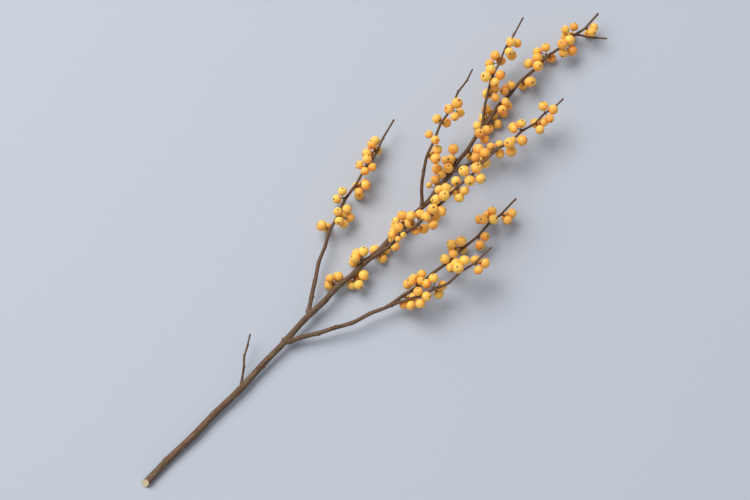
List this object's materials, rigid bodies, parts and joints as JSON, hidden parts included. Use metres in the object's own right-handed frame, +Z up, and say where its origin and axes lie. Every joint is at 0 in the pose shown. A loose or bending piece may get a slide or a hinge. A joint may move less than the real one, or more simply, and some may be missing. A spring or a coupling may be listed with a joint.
{
  "type": "winterberry branch",
  "caption": "Cut leafless winterberry branch lying on a surface, its forked twigs set with clusters of golden berries on short stalks.",
  "frame": {"origin": "on the surface the branch lies on, under the centre of its bounding box", "axes": "+Y along the branch from the cut end to the tip of the leader, +Z up from the surface, +X to the right when the tip points away"},
  "size_m": [0.167, 0.6224, 0.0767],
  "materials": {
    "bark": "smooth grey-brown bark with pale lenticels",
    "berry_skin": "waxy golden skin, satin gloss"
  },
  "bodies": {
    "root": {"woody_branch": "bark", "berry_cluster_01": "berry_skin", "berry_cluster_02": "berry_skin", "berry_cluster_03": "berry_skin", "berry_cluster_04": "berry_skin", "berry_cluster_05": "berry_skin", "berry_cluster_06": "berry_skin", "berry_cluster_07": "berry_skin", "berry_cluster_08": "berry_skin", "berry_cluster_09": "berry_skin", "berry_cluster_10": "berry_skin", "berry_cluster_11": "berry_skin", "berry_cluster_12": "berry_skin", "berry_cluster_13": "berry_skin", "berry_cluster_14": "berry_skin", "berry_cluster_15": "berry_skin", "berry_cluster_16": "berry_skin", "berry_cluster_17": "berry_skin", "berry_cluster_18": "berry_skin", "berry_cluster_19": "berry_skin", "berry_cluster_20": "berry_skin", "berry_cluster_21": "berry_skin", "berry_cluster_22": "berry_skin", "berry_cluster_23": "berry_skin", "berry_cluster_24": "berry_skin", "berry_cluster_25": "berry_skin", "berry_cluster_26": "berry_skin", "berry_cluster_27": "berry_skin", "berry_cluster_28": "berry_skin", "berry_cluster_29": "berry_skin", "berry_cluster_30": "berry_skin", "berry_cluster_31": "berry_skin", "berry_cluster_32": "berry_skin", "berry_cluster_33": "berry_skin", "berry_cluster_34": "berry_skin", "berry_cluster_35": "berry_skin", "berry_cluster_36": "berry_skin", "berry_cluster_37": "berry_skin", "berry_cluster_38": "berry_skin", "berry_cluster_39": "berry_skin", "berry_cluster_40": "berry_skin", "berry_cluster_41": "berry_skin", "berry_cluster_42": "berry_skin", "berry_cluster_43": "berry_skin", "berry_cluster_44": "berry_skin", "berry_cluster_45": "berry_skin", "berry_cluster_46": "berry_skin", "berry_cluster_47": "berry_skin", "berry_cluster_48": "berry_skin", "berry_cluster_49": "berry_skin", "berry_cluster_50": "berry_skin", "berry_cluster_51": "berry_skin", "berry_cluster_52": "berry_skin", "berry_cluster_53": "berry_skin", "berry_cluster_54": "berry_skin", "berry_cluster_55": "berry_skin", "berry_cluster_56": "berry_skin", "berry_cluster_57": "berry_skin", "berry_cluster_58": "berry_skin", "berry_cluster_59": "berry_skin"}
  },
  "joints": []
}
